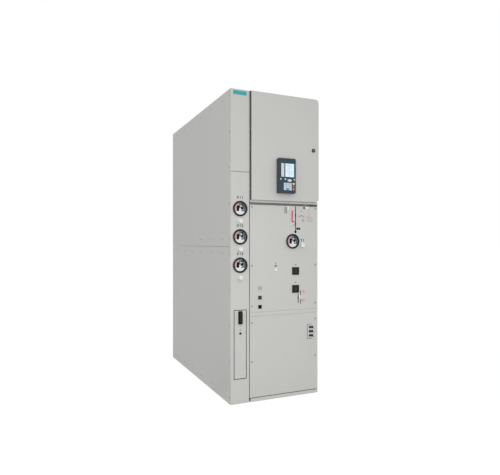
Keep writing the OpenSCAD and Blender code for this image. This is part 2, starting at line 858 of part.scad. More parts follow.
// Three pairs of capped test sockets
module test_sockets() color("black") in_frame()
    translate([
        cabinet_w - socket_plate_inset - socket_plate_w / 2, -socket_plate_t,
        socket_plate_z + socket_plate_h / 2
    ])
        for (row = [-1:1], side = [-1, 1])
            turned(side * socket_pitch_x / 2, row * socket_pitch_z) polygon([
                [0, 0], [socket_dia / 2, 0], [socket_dia / 2, socket_h * taper_share],
                [socket_dia / 2 * taper_share, socket_h], [0, socket_h]
            ]);

// Outline of the door, its corner at the origin, square at the hinge and round at the lock
module door_outline(w, h, r) {
    difference() {
        square([w, h]);
        translate([w, 0]) mirror([1, 0]) bend_corner(r);
        translate([w, h]) rotate(180) bend_corner(r);
    }
}

// Door of the low-voltage compartment, folded round, with openings for controller and lock
module lv_door() color("gainsboro") in_frame() difference() {
    upright(door_x, door_back, door_z, door_d) door_outline(door_w, door_h, door_corner_r);
    upright(door_x + door_t, door_back + cut, door_z + door_t, door_d - door_t + cut)
        door_outline(door_w - 2 * door_t, door_h - 2 * door_t, door_corner_r - door_t);
    block(
        [
            relay_mid_x - relay_w / 2 + relay_margin - relay_clear, door_face - cut,
            relay_mid_z - relay_h / 2 + relay_margin - relay_clear
        ],
        [
            relay_mid_x + relay_w / 2 - relay_margin + relay_clear, door_face + door_t + cut,
            relay_mid_z + relay_h / 2 - relay_margin + relay_clear
        ]
    );
    stud(lock_x, door_face - cut, lock_z, lock_barrel_r + round_clear, door_t + 2 * cut);
}

module relay_case() color("dimgray") in_frame()
    block(
        [relay_mid_x - relay_w / 2 + relay_margin, door_face, relay_mid_z - relay_h / 2 + relay_margin],
        [relay_mid_x + relay_w / 2 - relay_margin, relay_case_d, relay_mid_z + relay_h / 2 - relay_margin]
    );

// Controller front, stepped at its rim, with recesses for the screen and the lamp strip
module relay_front() color("darkslategray") in_frame() translate([relay_mid_x, door_face, relay_mid_z]) {
    face_w = relay_w - 2 * relay_step;
    face_h = relay_h - 2 * relay_step;
    upright(-relay_w / 2, 0, -relay_h / 2, relay_proud - relay_step)
        round_rect(relay_w, relay_h, relay_corner_r);
    difference() {
        upright(-face_w / 2, 0, -face_h / 2, relay_proud) round_rect(face_w, face_h, relay_corner_r);
        translate([screen_dx, -relay_proud, screen_dz])
            block([-screen_w / 2, -cut, -screen_h / 2], [screen_w / 2, relay_recess, screen_h / 2]);
        translate([-lamps_dx, -relay_proud, screen_dz])
            block([-lamps_w / 2, -cut, -screen_h / 2], [lamps_w / 2, relay_recess, screen_h / 2]);
    }
}

module relay_screen() color("lightblue") in_frame()
    translate([relay_mid_x + screen_dx, -relay_face, relay_mid_z + screen_dz])
        block([-screen_w / 2, relay_recess / 2, -screen_h / 2], [screen_w / 2, relay_recess, screen_h / 2]);

// Strip that holds the indicator lamps
module relay_lamps() color("whitesmoke") in_frame()
    translate([relay_mid_x - lamps_dx, -relay_face, relay_mid_z + screen_dz])
        block([-lamps_w / 2, relay_recess / 2, -screen_h / 2], [lamps_w / 2, relay_recess, screen_h / 2]);

// One key with its middle at the given place on the controller front
module key(x, z, w, h) {
    upright(x - w / 2, 0, z - h / 2, key_h) round_rect(w, h, h / 4);
}

// Arrow key, pointed at both ends
module arrow_key() {
    half_w = arrow_key_w / 2;
    half_h = arrow_key_h / 2;
    side_r = (half_w * half_w / half_h + half_h) / 2;
    translate([arrow_key_dx, 0, -arrow_key_drop]) rotate([90, 0, 0]) intersection() {
        translate([0, side_r - half_h, 0]) cylinder(r = side_r, h = key_h);
        translate([0, half_h - side_r, 0]) cylinder(r = side_r, h = key_h);
    }
}

// Row of keys under the screen, and the block of keys below it
module relay_keys() color("white") in_frame() translate([relay_mid_x, -relay_face, relay_mid_z]) {
    for (col = [0, 1, 3])
        translate([(col - 3 / 2) * round_key_pitch, 0, -round_key_drop]) rotate([90, 0, 0])
            cylinder(d = key_dia, h = key_h);
    arrow_key();
    for (col = [-1:1], row = [0:3])
        key(key_block_dx + col * key_pitch_x, -key_block_drop - row * key_pitch_z, key_w, key_tall);
}

// Command keys beside the block
module relay_command_keys() color("green") in_frame() translate([relay_mid_x, -relay_face, relay_mid_z])
    for (row = [0:2])
        key(command_key_dx, -key_block_drop - row * command_key_pitch, command_key_w, command_key_tall);

// Quarter-turn lock with its cam standing upright
module door_lock() color("black") in_frame() {
    difference() {
        union() {
            stud(lock_x, door_face - lock_proud, lock_z, lock_r, lock_proud);
            stud(lock_x, door_face - lock_proud, lock_z, lock_barrel_r, lock_proud + door_t + lock_barrel_l);
        }
        stud(lock_x, door_face - lock_proud - cut, lock_z, lock_barrel_r * grip_share, lock_proud / 2 + cut);
    }
    translate([lock_x, door_face + door_t + lock_barrel_l, lock_z])
        block([-cam_w / 2, 0, -cam_w / 2], [cam_w / 2, cover_t, cam_l]);
}

// Column flap, folded round
module column_flap() color("gainsboro") in_frame()
    folded_sheet(flap_x, flap_z, flap_w, flap_h, flap_d, flap_t);

// Grip of the flap, a lever on a plate with a finger recess under its lower end
module flap_handle() color("black") in_frame() translate([flap_mid, 0, flap_z + flap_h - handle_drop]) {
    lever_w = handle_w * grip_share;
    lever_h = handle_h * reach_share;
    recess_w = (handle_w + lever_w) / 2;
    margin = (handle_h - lever_h) / 4;
    difference() {
        upright(-handle_w / 2, 0, -handle_h / 2, handle_base) round_rect(handle_w, handle_h, handle_r);
        upright(-recess_w / 2, -handle_base / 4, -lever_h / 2 - margin, handle_base)
            round_rect(recess_w, lever_h / 2, handle_r / 2);
    }
    upright(-lever_w / 2, -handle_base, -lever_h / 2, handle_proud - handle_base)
        round_rect(lever_w, lever_h, handle_r);
    stud(0, -(handle_base + handle_proud) / 2, lever_h / 4, lever_w / 4, handle_proud / 2);
}

module flap_lock() color("black") in_frame()
    stud(flap_mid, -flap_lock_proud, flap_z + flap_h - flap_lock_drop, flap_lock_dia / 2, flap_lock_proud);

base_rail_front();
base_rail_rear();
base_side_rails();
column_post();
panel_posts();
closing_strip();
gap_seals();
left_wall_lower();
left_wall_upper();
right_wall_lower();
right_wall_upper();
rear_wall_lower();
rear_wall_upper();
roof();
column_upper_cover();
column_lower_cover();
flap_pocket();
flap_hinge_leaf();
badge_plate();
busbar_gauge_1();
busbar_gauge_2();
busbar_gauge_3();
breaker_gauge();
gauge_dials();
gauge_pointers();
gauge_glasses();
filling_caps();
lv_sides();
lv_lips();
lv_top();
lv_floor();
lv_back();
door_hinge_leaf();
mechanism_cover();
operating_shutters();
push_buttons();
position_window();
charging_port();
cross_rail();
cable_cover();
test_socket_plate();
test_sockets();
lv_door();
door_hinge_knuckles();
relay_case();
relay_front();
relay_screen();
relay_lamps();
relay_keys();
relay_command_keys();
door_lock();
column_flap();
flap_hinge_knuckles();
flap_handle();
flap_lock();
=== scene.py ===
"""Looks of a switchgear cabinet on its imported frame: finishes, prints, screws, light and camera."""

import math

import bmesh
import bpy
from mathutils import Matrix, Vector


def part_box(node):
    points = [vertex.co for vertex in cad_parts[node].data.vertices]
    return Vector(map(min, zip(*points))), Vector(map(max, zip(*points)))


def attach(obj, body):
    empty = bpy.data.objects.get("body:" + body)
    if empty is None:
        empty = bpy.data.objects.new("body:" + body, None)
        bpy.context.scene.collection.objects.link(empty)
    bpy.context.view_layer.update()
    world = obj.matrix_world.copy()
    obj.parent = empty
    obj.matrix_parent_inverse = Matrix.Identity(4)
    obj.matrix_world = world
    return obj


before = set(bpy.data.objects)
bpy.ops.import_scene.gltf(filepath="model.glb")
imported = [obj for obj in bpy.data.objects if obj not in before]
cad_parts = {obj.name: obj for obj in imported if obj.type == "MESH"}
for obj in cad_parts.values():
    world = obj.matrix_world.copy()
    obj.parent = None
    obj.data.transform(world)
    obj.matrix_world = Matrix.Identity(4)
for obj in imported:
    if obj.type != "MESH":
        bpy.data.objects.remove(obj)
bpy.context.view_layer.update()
MM = 0.001
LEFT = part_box("left_wall_upper")[0].x
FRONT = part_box("cable_cover")[0].y
RIGHTWARDS, LEFTWARDS, UPWARDS = (1, 0, 0), (-1, 0, 0), (0, 0, 1)
OUTWARDS, REARWARDS = (0, -1, 0), (0, 1, 0)
scene = bpy.context.scene


def at(x, y, z):
    """Point in the frame, from millimetres right, back and up of the cabinet's front left foot."""
    return Vector((LEFT + x * MM, FRONT + y * MM, z * MM))


class Extent:
    """Box of a CAD node, in millimetres right, back and up of the cabinet's front left foot."""

    def __init__(self, node):
        low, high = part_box(node)
        self.x0, self.x1 = (low.x - LEFT) / MM, (high.x - LEFT) / MM
        self.y0, self.y1 = (low.y - FRONT) / MM, (high.y - FRONT) / MM
        self.z0, self.z1 = low.z / MM, high.z / MM
        self.x, self.z = (self.x0 + self.x1) / 2, (self.z0 + self.z1) / 2
        self.w, self.h = self.x1 - self.x0, self.z1 - self.z0


def spread(first, last, count):
    """Evenly spaced places from the first to the last."""
    return [first + (last - first) * i / (count - 1) for i in range(count)]


# Finishes

CLOUD_DETAIL, GRAIN_DETAIL = 4.0, 2.0
CLOUD_STOPS = (0.3, 0.7)
GLOSS_DRIFT = 0.1
GRAIN_DEPTH = 0.5 * MM


def linear(rgb):
    """Linear colour of an sRGB colour given from 0 to 255."""
    return [c / 255 / 12.92 if c < 10.3 else ((c / 255 + 0.055) / 1.055) ** 2.4 for c in rgb]


def add(tree, kind, inputs):
    """New shader node; each input takes a value or the output of another node."""
    made = tree.nodes.new("ShaderNode" + kind)
    for name, value in inputs.items():
        if isinstance(value, bpy.types.NodeSocket):
            tree.links.new(value, made.inputs[name])
        else:
            made.inputs[name].default_value = value
    return made


def empty_tree(owner):
    """Node tree of a material or world, with nothing in it yet."""
    owner.use_nodes = True
    owner.node_tree.nodes.clear()
    return owner.node_tree


def finish(name, rgb, rough, mottle, cloud, grain, relief, **sockets):
    """Material whose colour and gloss drift in soft clouds, with a fine grain in relief."""
    mat = bpy.data.materials.get(name) or bpy.data.materials.new(name)
    tree = empty_tree(mat)
    place = add(tree, "TexCoord", {}).outputs["Object"]
    clouds = add(tree, "TexNoise", {"Vector": place, "Scale": cloud, "Detail": CLOUD_DETAIL}).outputs["Fac"]
    grains = add(tree, "TexNoise", {"Vector": place, "Scale": grain, "Detail": GRAIN_DETAIL}).outputs["Fac"]
    ramp = add(tree, "ValToRGB", {"Fac": clouds})
    for stop, position, share in zip(ramp.color_ramp.elements, CLOUD_STOPS, (1 - mottle, 1 + mottle)):
        stop.position = position
        stop.color = (*[min(1.0, c * share) for c in linear(rgb)], 1)
    glossy, dull = rough * (1 - GLOSS_DRIFT), min(1.0, rough * (1 + GLOSS_DRIFT))
    gloss = add(tree, "MapRange", {"Value": clouds, "To Min": glossy, "To Max": dull})
    bump = add(tree, "Bump", {"Height": grains, "Strength": relief, "Distance": GRAIN_DEPTH})
    shader = add(tree, "BsdfPrincipled", {
        "Base Color": ramp.outputs[0], "Roughness": gloss.outputs[0], "Normal": bump.outputs[0]
    })
    for socket, value in sockets.items():
        shader.inputs[socket].default_value = value
    add(tree, "OutputMaterial", {"Surface": shader.outputs[0]})
    return mat


# Families of looks: drift of the colour, scales of clouds and grain, relief of the grain, shader sockets
PAINT = {"mottle": 0.012, "cloud": 1.6, "grain": 700, "relief": 0.03}
METAL = {"mottle": 0.08, "cloud": 60, "grain": 900, "relief": 0.06}
SPANGLE = {"mottle": 0.08, "cloud": 26, "grain": 160, "relief": 0.06, "Metallic": 0.7}
PLASTIC = {"mottle": 0.03, "cloud": 50, "grain": 1500, "relief": 0.06}
PRINT = {"mottle": 0.04, "cloud": 50, "grain": 1500, "relief": 0.02, "Specular IOR Level": 0.1}
MATT = {"Specular IOR Level": 0.25}
FLAT = {"Specular IOR Level": 0.0}
GLASS = {"mottle": 0.006, "cloud": 24, "grain": 60, "relief": 0.004}
BACKLIT = {"Emission Color": (0.44, 1.0, 0.88, 1.0), "Emission Strength": 0.09}
# Looks: sRGB colour, roughness and family
LOOKS = {
    "cabinet_paint": ((201, 201, 198), 0.48, PAINT),
    "frame_steel": ((170, 170, 168), 0.42, SPANGLE),
    "inner_sheet": ((202, 203, 201), 0.5, PAINT),
    # dark_steel: dark grey of the door hinge, made darker as painted shade of the gap beside the door
    "dark_steel": ((66, 65, 63), 0.55, METAL),
    "hinge_zinc": ((118, 118, 116), 0.45, METAL | {"Metallic": 0.3}),
    "gauge_black": ((22, 22, 24), 0.36, PLASTIC | MATT),
    "dial_white": ((246, 248, 250), 0.5, PRINT | {"mottle": 0.01}),
    "pointer_black": ((12, 12, 14), 0.5, PRINT),
    "clear_glass": ((36, 40, 40), 0.05, GLASS | {"Alpha": 0.04}),
    "cap_white": ((230, 230, 227), 0.42, PLASTIC | {"mottle": 0.012}),
    "black_plastic": ((21, 21, 21), 0.48, PLASTIC | MATT | {"relief": 0.1}),
    "lock_metal": ((18, 17, 16), 0.42, METAL | {"Metallic": 0.3}),
    "plate_white": ((232, 232, 230), 0.45, PLASTIC | {"mottle": 0.012}),
    "badge_teal": ((40, 168, 172), 0.4, PLASTIC),
    "relay_metal": ((150, 154, 156), 0.36, METAL | {"Metallic": 0.85}),
    "relay_slate": ((68, 74, 76), 0.5, PLASTIC | MATT),
    "screen_glass": ((222, 240, 252), 0.16, GLASS | {"mottle": 0.02} | BACKLIT),
    "key_grey": ((214, 219, 226), 0.5, PLASTIC),
    "key_colour": ((70, 160, 80), 0.45, PLASTIC),
    "rubber": ((30, 30, 30), 0.75, PLASTIC | {"relief": 0.15}),
    "screw_zinc": ((168, 168, 165), 0.4, METAL | {"Metallic": 0.55}),
    "screw_dull": ((158, 158, 155), 0.45, METAL | {"Metallic": 0.3}),
    "mark_black": ((18, 17, 17), 0.6, PRINT | FLAT),
    "mark_red": ((205, 80, 92), 0.55, PRINT),
    "mark_pink": ((228, 160, 166), 0.55, PRINT),
    "mark_grey": ((112, 114, 114), 0.6, PRINT),
    "mark_pale": ((168, 170, 169), 0.6, PRINT),
    "mark_white": ((246, 246, 244), 0.5, PRINT | {"mottle": 0.01}),
    "dial_black": ((6, 6, 8), 0.6, PRINT | FLAT),
    "dial_pink": ((216, 180, 187), 0.5, PRINT),
    "dial_teal": ((100, 118, 118), 0.5, PRINT),
    "dial_deep": ((62, 78, 78), 0.5, PRINT),
    "dial_grey": ((126, 128, 132), 0.5, PRINT),
    "dial_pale": ((156, 158, 164), 0.5, PRINT),
    "dial_slate": ((14, 18, 24), 0.5, PRINT | FLAT),
    "face_blue": ((49, 69, 81), 0.48, PLASTIC | MATT),
    "lamp_field": ((206, 206, 220), 0.5, PRINT),
    "key_pad": ((172, 178, 190), 0.5, PLASTIC),
    "lamp_red": ((208, 186, 206), 0.3, PLASTIC),
    "lamp_green": ((150, 205, 160), 0.3, PLASTIC),
    "key_amber": ((250, 208, 130), 0.45, PLASTIC),
    "key_green": ((38, 160, 80), 0.45, PLASTIC),
    "key_red": ((238, 112, 136), 0.45, PLASTIC),
    "key_blue": ((72, 138, 178), 0.45, PLASTIC),
    "key_mint": ((196, 226, 220), 0.45, PLASTIC),
    "port_navy": ((26, 66, 86), 0.45, PLASTIC),
    "screen_ink": ((150, 174, 186), 0.4, PRINT),
    "shutter_slide": ((62, 62, 62), 0.5, PLASTIC | MATT),
}
# One material for each look, under the look's name
MATERIALS = {name: finish(name, rgb, rough, **family) for name, (rgb, rough, family) in LOOKS.items()}

# CAD nodes keep their shape and get their finish and soft edges

EDGE, EDGE_SEGMENTS, EDGE_ANGLE = 0.4, 2, math.radians(40)
EDGES = {"lv_door": 0.9, "relay_front": 1.5, "flap_handle": 1.2, "relay_keys": 0.5, "relay_command_keys": 0.5}
for name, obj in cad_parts.items():
    slot = obj.data.materials[0].name
    obj.data.materials[0] = MATERIALS[slot]
    soft = obj.modifiers.new("soft edges", "BEVEL")
    soft.width, soft.segments = EDGES.get(name, EDGE) * MM, EDGE_SEGMENTS
    soft.limit_method, soft.angle_limit = "ANGLE", EDGE_ANGLE
    soft.harden_normals = True


# Outlines in x and z

CORNER_STEPS, OVAL_STEPS, RING_STEPS = 5, 36, 40
MITRE_LIMIT, INSET_LIMIT = 0.3, 0.35
NO_LENGTH = 1e-6


def on_circle(x, z, r, degrees):
    """Point at an angle on a circle, counted from the right."""
    return (x + r * math.cos(math.radians(degrees)), z + r * math.sin(math.radians(degrees)))


def arc(x, z, r, a0, a1, steps=24):
    """Points along an arc."""
    return [on_circle(x, z, r, a) for a in spread(a0, a1, steps + 1)]


def circle(x, z, r, steps):
    """Points round a whole circle."""
    return arc(x, z, r, 0, 360 - 360 / steps, steps - 1)


def rectangle(x0, x1, z0, z1):
    """Outline of a rectangle between two places each way."""
    return [(x0, z0), (x1, z0), (x1, z1), (x0, z1)]


def round_outline(x, z, w, h, r):
    """Outline of a rectangle with round corners about its middle."""
    points = []
    for sx, sz, start in ((1, 1, 0), (-1, 1, 90), (-1, -1, 180), (1, -1, 270)):
        points += arc(x + sx * (w / 2 - r), z + sz * (h / 2 - r), r, start, start + 90, CORNER_STEPS)
    return points


def oval(x, z, w, h):
    """Outline of an ellipse about its middle."""
    return [(x + w / 2 * px, z + h / 2 * pz) for px, pz in circle(0, 0, 1, OVAL_STEPS)]


def ribbon(points, width):
    """Outline round an open line, mitred at its corners."""
    line = [Vector(p) for p in points]
    sides = []
    for i, p in enumerate(line):
        before = (p - line[i - 1]).normalized() if i else (line[1] - p).normalized()
        after = (line[i + 1] - p).normalized() if i + 1 < len(line) else before
        middle = (before + after).normalized()
        across = Vector((-middle.y, middle.x)) * (width / 2 / max(MITRE_LIMIT, middle.dot(before)))
        sides.append((p + across, p - across))
    return [tuple(a) for a, _ in sides] + [tuple(b) for _, b in reversed(sides)]


def inset(outline, d):
    """The outline with each edge moved inwards."""
    points = [Vector(p) for p in outline]
    area = sum(a.x * b.y - b.x * a.y for a, b in zip(points, points[1:] + points[:1]))
    turn = 1 if area > 0 else -1
    made = []
    for i, p in enumerate(points):
        before = (p - points[i - 1]).normalized()
        after = (points[(i + 1) % len(points)] - p).normalized()
        normal = Vector((-before.y - after.y, before.x + after.x)) * turn
        if normal.length < NO_LENGTH:
            normal = Vector((-before.y, before.x)) * turn
        normal.normalize()
        lean = max(INSET_LIMIT, normal.dot(Vector((-after.y, after.x)) * turn))
        made.append(tuple(p + normal * (d / lean)))
    return made


# Meshes

SCREW_SIDES, SHARP_ANGLE = 12, math.radians(32)
# Pan head with a star recess: shares of its radius, across and up, and what every other point keeps
SCREW = ((1, 0, 1), (1, 0.2, 1), (0.82, 0.42, 1), (0.52, 0.5, 1), (0.44, 0.5, 0.74), (0.4, 0.2, 0.74))
CAP_HEIGHT_SHARE, NUMERAL_STEPS = 0.69, 3


class Shape:
    """Mesh made of skins between rings of points, in millimetres from the front left foot."""

    def __init__(self):
        self.bm = bmesh.new()

    def rows(self, rings):
        """Rows of vertices at rings of points."""
        return [[self.bm.verts.new(at(*p)) for p in ring] for ring in rings]

    def weave(self, rows):
        """Faces between each row of vertices and the next, closed round."""
        for a, b in zip(rows, rows[1:]):
            for i in range(len(a)):
                j = (i + 1) % len(a)
                self.bm.faces.new((a[i], a[j], b[j], b[i]))

    def skin(self, rings):
        """Closed skin through rings of equal length, flat at both ends."""
        rows = self.rows(rings)
        self.weave(rows)
        self.bm.faces.new(rows[0][::-1])
        self.bm.faces.new(rows[-1])
        return self

    def plate(self, outline, surface=0.0, height=0.5, edge=0.15):
        """Plate of an outline in x and z, standing out from a surface, with its front edge chamfered."""
        front = surface - height
        small = inset(outline, edge)
        return self.skin([
            [(x, surface, z) for x, z in outline],
            [(x, front + edge, z) for x, z in outline],
            [(x, front, z) for x, z in small],
        ])

    def line(self, points, width, surface=0.0, height=0.5):
        """Raised stroke along an open line."""
        return self.plate(ribbon(points, width), surface, height)

    def band(self, x, z, r0, r1, a0, a1, surface, height, edge):
        """Part of a ring, between two radii and two angles."""
        return self.plate(arc(x, z, r1, a0, a1) + arc(x, z, r0, a1, a0), surface, height, edge)

    def ring(self, x, z, r0, r1, surface, height):
        """Whole flat ring, raised from a surface."""
        front = surface - height
        corners = ((r1, surface), (r1, front), (r0, front), (r0, surface))
        rows = self.rows([(px, y, pz) for px, pz in circle(x, z, r, RING_STEPS)] for r, y in corners)
        self.weave(rows + rows[:1])
        return self

    def turned(self, centre, axis, profile, sides=20):
        """Solid of turning; its profile gives radius, height and what share every other point keeps."""
        axis, middle = Vector(axis), Vector(centre)
        u = axis.orthogonal().normalized()
        v = axis.cross(u)
        rings = []
        for r, h, keep in profile:
            ring = []
            for i in range(sides):
                a = 2 * math.pi * i / sides
                q = r * (keep if i % 2 else 1.0)
                ring.append(tuple(middle + axis * h + u * (q * math.cos(a)) + v * (q * math.sin(a))))
            rings.append(ring)
        return self.skin(rings)

    def screw(self, centre, axis, r=6.0):
        """Screw head on a surface."""
        return self.turned(centre, axis, [(a * r, h * r, keep) for a, h, keep in SCREW], SCREW_SIDES)

    def numerals(self, text, x, z, height, surface=0.0, depth=0.5, weight=0.5):
        """Raised plain numerals about a point, facing the front."""
        curve = bpy.data.curves.new("numerals", "FONT")
        curve.body, curve.align_x, curve.align_y = text, "CENTER", "CENTER"
        curve.size, curve.extrude = height * MM / CAP_HEIGHT_SHARE, depth * MM / 2
        curve.offset, curve.resolution_u = weight * MM, NUMERAL_STEPS
        thing = bpy.data.objects.new("numerals", curve)
        mesh = bpy.data.meshes.new_from_object(thing)
        upright = Matrix.Rotation(math.pi / 2, 4, "X")
        mesh.transform(Matrix.Translation(at(x, surface - depth / 2, z)) @ upright)
        self.bm.from_mesh(mesh)
        bpy.data.meshes.remove(mesh)
        bpy.data.objects.remove(thing)
        bpy.data.curves.remove(curve)
        return self

    def piece(self, name, look, body="cabinet"):
        """The finished mesh as an object with a look, riding on a body."""
        bmesh.ops.recalc_face_normals(self.bm, faces=self.bm.faces)
        mesh = bpy.data.meshes.new(name)
        self.bm.to_mesh(mesh)
        self.bm.free()
        mesh.polygons.foreach_set("use_smooth", [True] * len(mesh.polygons))
        mesh.set_sharp_from_angle(angle=SHARP_ANGLE)
        obj = bpy.data.objects.new(name, mesh)
        scene.collection.objects.link(obj)
        mesh.materials.append(MATERIALS[look])
        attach(obj, body)
        return obj


# Screws of walls, roof and covers

REAR = Extent("rear_wall_upper").y1
RIGHT = Extent("right_wall_upper").x1
TOP = Extent("roof").z1
MARGIN = 19
ROOF_MARGIN = 3 * MARGIN
SHEET_ROWS = [spread(50, 1123, 5), spread(1232, 2301, 5)]
WALL_COLUMNS = spread(170, 1455, 6)
REAR_COLUMNS = spread(MARGIN, RIGHT - MARGIN, 4)
ROOF_ROWS = spread(ROOF_MARGIN, REAR - ROOF_MARGIN, 7)
COVER_COLUMNS, COVER_ROWS, COVER_HEAD_R = (175, 734), (1477, 1030, 725, 596, 303), 7.5
for name, axis, x in (("left_wall_screws", LEFTWARDS, 0), ("right_wall_screws", RIGHTWARDS, RIGHT)):
    heads = Shape()
    for rows in SHEET_ROWS:
        for z in rows:
            heads.screw((x, MARGIN, z), axis)
            heads.screw((x, REAR - MARGIN, z), axis)
        for y in WALL_COLUMNS:
            heads.screw((x, y, rows[0]), axis)
            heads.screw((x, y, rows[-1]), axis)
    heads.piece(name, "screw_zinc")
heads = Shape()
for rows in SHEET_ROWS:
    for x in (REAR_COLUMNS[0], REAR_COLUMNS[-1]):
        for z in rows:
            heads.screw((x, REAR, z), REARWARDS)
    for x in REAR_COLUMNS[1:-1]:
        heads.screw((x, REAR, rows[0]), REARWARDS)
        heads.screw((x, REAR, rows[-1]), REARWARDS)
heads.piece("rear_wall_screws", "screw_zinc")
heads = Shape()
for y in ROOF_ROWS:
    for x in (MARGIN, RIGHT - MARGIN):
        heads.screw((x, y, TOP), UPWARDS)
heads.piece("roof_screws", "screw_zinc")
heads = Shape()
for x in COVER_COLUMNS:
    for z in COVER_ROWS:
        heads.screw((x, 0, z), OUTWARDS, COVER_HEAD_R)
heads.piece("cover_screws", "screw_dull")

# Prints and hub caps of the gauges, with a pale zinc ring round each bezel as a painted highlight on its
# outer wall

GAUGES = [Extent(n) for n in ("busbar_gauge_1", "busbar_gauge_2", "busbar_gauge_3", "breaker_gauge")]
DIAL, POINTER = Extent("gauge_dials").y0, Extent("gauge_pointers").y0
FIELD_R0, FIELD_R1 = 26, 44
FIELD_RISE, SPOT_RISE, FIELD_EDGE = 0.3, 0.5, 0.1
# Start and end of each coloured field, in degrees
FIELDS = {"pink": (106, 214), "teal": (-34, 38), "deep": (39, 76), "grey": (77, 105)}
# Spots on a dial: right and up of its middle, width and height, and the bar's corner radius
PALE_SPOT, SLATE_SPOT, BLACK_SPOT = (-1, 14, 15, 23), (15.5, 5, 20, 24), (16.5, -15, 13, 11)
BLACK_BAR = (-17.5, 2, 20, 42, 7)
TICK_ANGLES, TICK_RADII, TICK_W, TICK_RISE = spread(-45, 225, 9), (39, 43.5), 1.4, 0.2
HUB_CAP, HUB_RISE = (8.6, 8.6), 0.4
BEZEL_HIGHLIGHT_INNER, BEZEL_HIGHLIGHT_OUTER, BEZEL_HIGHLIGHT_LENGTH = 0.1, 0.8, 10
for colour, (a0, a1) in FIELDS.items():
    field = Shape()
    for gauge in GAUGES:
        field.band(gauge.x, gauge.z, FIELD_R0, FIELD_R1, a0, a1, DIAL, FIELD_RISE, FIELD_EDGE)
    field.piece(f"gauge_{colour}_fields", f"dial_{colour}")


def on_dial(gauge, spot):
    """A dial's spot, placed on one gauge."""
    dx, dz, *size = spot
    return (gauge.x + dx, gauge.z + dz, *size)


pale, black, slate, ticks, hubs, bezel_highlights = (Shape() for _ in range(6))
for gauge in GAUGES:
    pale.plate(oval(*on_dial(gauge, PALE_SPOT)), DIAL, FIELD_RISE, FIELD_EDGE)
    black.plate(round_outline(*on_dial(gauge, BLACK_BAR)), DIAL, SPOT_RISE, FIELD_EDGE)
    black.plate(oval(*on_dial(gauge, BLACK_SPOT)), DIAL, SPOT_RISE, FIELD_EDGE)
    slate.plate(oval(*on_dial(gauge, SLATE_SPOT)), DIAL, SPOT_RISE, FIELD_EDGE)
    hubs.plate(oval(gauge.x, gauge.z, *HUB_CAP), POINTER, HUB_RISE)
    bezel_r = gauge.x1 - gauge.x
    # Pale ring round the bezel's outer wall: a painted highlight where the black wall would read dark
    bezel_highlights.ring(gauge.x, gauge.z, bezel_r + BEZEL_HIGHLIGHT_INNER, bezel_r + BEZEL_HIGHLIGHT_OUTER, 0, BEZEL_HIGHLIGHT_LENGTH)
    for degrees in TICK_ANGLES:
        ends = [on_circle(gauge.x, gauge.z, r, degrees) for r in TICK_RADII]
        ticks.line(ends, TICK_W, DIAL - FIELD_RISE, TICK_RISE)
pale.piece("gauge_pale_fields", "dial_pale")
black.piece("gauge_black_fields", "dial_black")
slate.piece("gauge_slate_fields", "dial_slate")
ticks.piece("gauge_ticks", "mark_black")
hubs.piece("gauge_hub_caps", "dial_white")
bezel_highlights.piece("gauge_bezel_highlights", "screw_zinc")

# Number tags of the gauges

TAG_RISE, TAG_STEPS, TAG_HEIGHT = 84, (-16.6, 3.5, 21), 19
BREAKER_TAG, BREAKER_TAG_RISE, BREAKER_TAG_WEIGHT = {605: "2", 623: "1"}, 8, 0.9
tags = Shape()
for digit, gauge in zip("123", GAUGES):
    for character, step in zip("01" + digit, TAG_STEPS):
        tags.numerals(character, gauge.x + step, gauge.z + TAG_RISE, TAG_HEIGHT)
for x, character in BREAKER_TAG.items():
    tags.numerals(character, x, GAUGES[-1].z + BREAKER_TAG_RISE, TAG_HEIGHT, weight=BREAKER_TAG_WEIGHT)
tags.piece("gauge_number_tags", "mark_black")

# Mimic diagram on the mechanism cover, with two painted highlights among its white fields

COVER_TOP = Extent("mechanism_cover").z1
LINE_X, LINE_END = 552, 1292
BLACK_X, TICK_X = 576.6, 598
RED_X, RED_TOP, RED_FOOT, RED_FOOT_Z = 522, 1456, 1365, 1369
CROSS_REACH = 6
MARK_RISE, OVER_RISE, CROSS_RISE = 0.5, 0.6, 0.7
# Strokes of each colour: points, width and rise
CROSSES = [
    ([(LINE_X - CROSS_REACH, z - slant), (LINE_X + CROSS_REACH, z + slant)], 3, CROSS_RISE)
    for z in (1420, 1349) for slant in (-CROSS_REACH, CROSS_REACH)
]
STROKES = {
    "black": [
        ([(LINE_X, COVER_TOP - 2), (LINE_X, LINE_END)], 7, MARK_RISE),
        *CROSSES,
        ([(BLACK_X, 804), (BLACK_X, 785)], 6, MARK_RISE),
        ([(BLACK_X, 785), (BLACK_X, 757)], 9, MARK_RISE),
        ([(BLACK_X, 757), (BLACK_X, 730)], 6, MARK_RISE),
        ([(TICK_X, 826), (TICK_X, 789)], 5, MARK_RISE),
        ([(TICK_X, 755), (TICK_X, 720)], 5, MARK_RISE),
    ],
    "red": [
        ([(RED_X, RED_TOP), (RED_X, RED_FOOT)], 12, MARK_RISE),
        ([(RED_X + 6, RED_FOOT_Z), (LINE_X - 3.5, RED_FOOT_Z)], 8, MARK_RISE),
    ],
    "pink": [
        ([(675.5, 1474), (675.5, 1403)], 5, MARK_RISE),
        ([(645, 1406), (706, 1406)], 9, OVER_RISE),
    ],
    "grey": [
        ([(468, 1484), (468, 1433)], 9, MARK_RISE),
        (arc(607, 1390, 28, 30, 150), 5, MARK_RISE),
        ([(530, 1342), (546, 1342)], 4, MARK_RISE),
        ([(LINE_X - 7, 1030), (LINE_X + 8, 1030)], 6, MARK_RISE),
        ([(LINE_X - 7, 893), (LINE_X + 8, 893)], 6, MARK_RISE),
        ([(376, 1050), (376, 1040)], 7, MARK_RISE),
    ],
    "pale": [
        ([(455, 1484), (455, 1433)], 10, MARK_RISE),
        ([(603, 1470), (603, 1438)], 4, MARK_RISE),
        *[([(655, z), (710, z)], 3, MARK_RISE) for z in (1392, 1382, 1372)],
    ],
}
